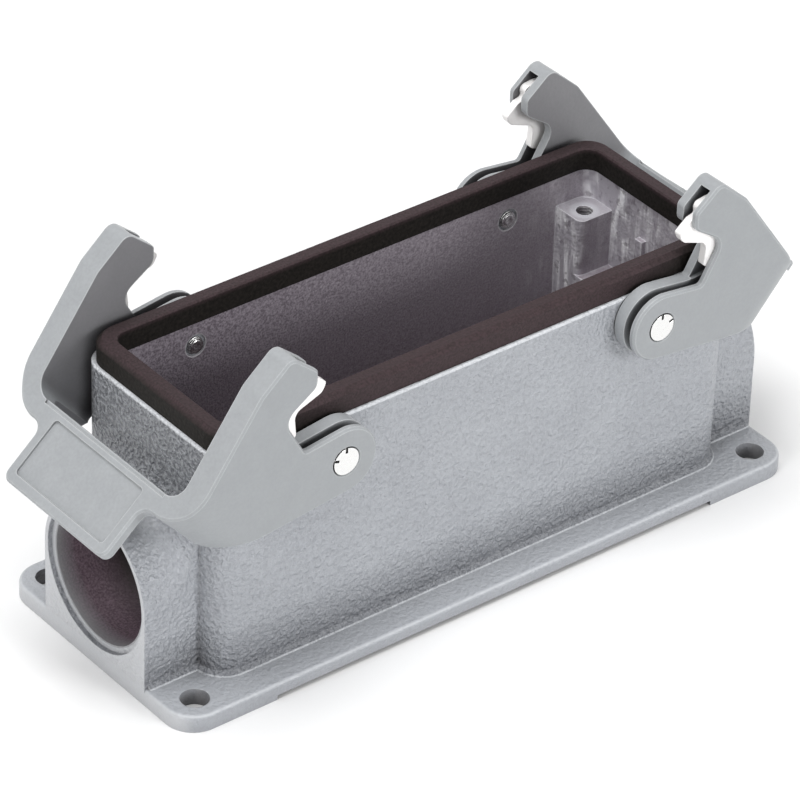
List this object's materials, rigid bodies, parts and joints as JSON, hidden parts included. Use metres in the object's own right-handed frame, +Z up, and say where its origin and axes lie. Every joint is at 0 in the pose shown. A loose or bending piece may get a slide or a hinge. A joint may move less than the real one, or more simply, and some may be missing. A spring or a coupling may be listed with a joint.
{
  "type": "rectangular connector housing",
  "caption": "Surface mounting housing of a heavy duty rectangular connector, open at the top with a rubber frame seal, a round cable entry at one end and locking levers at both ends.",
  "frame": {"origin": "middle of the base, in the plane of the plate's feet", "axes": "+X along the housing away from the cable entry, +Z up towards the mating rim"},
  "size_m": [0.1622, 0.056, 0.0721],
  "materials": {
    "powder_coat": "grey powder coat on an aluminium die casting",
    "rubber": "matt black moulded rubber",
    "lever_plastic": "smooth grey moulding",
    "stainless": "bright stainless steel"
  },
  "bodies": {
    "housing_body": {"housing": "powder_coat", "rim_gasket": "rubber", "pivot_pin_left_near": "stainless", "pivot_pin_left_far": "stainless", "pivot_pin_right_near": "stainless", "pivot_pin_right_far": "stainless"},
    "left_lever_body": {"lever_left": "lever_plastic", "lock_spring_left_near": "stainless", "lock_spring_left_far": "stainless"},
    "right_lever_body": {"lever_right": "lever_plastic", "lock_spring_right_near": "stainless", "lock_spring_right_far": "stainless"}
  },
  "joints": [
    {"name": "left_lever_hinge", "type": "hinge", "parent": "housing_body", "child": "left_lever_body", "pos_m": [-0.03665, 0, 0.04597], "axis": [0, 1, 0], "range_deg": [0, 45]},
    {"name": "right_lever_hinge", "type": "hinge", "parent": "housing_body", "child": "right_lever_body", "pos_m": [0.03665, 0, 0.04597], "axis": [0, -1, 0], "range_deg": [0, 45]}
  ]
}
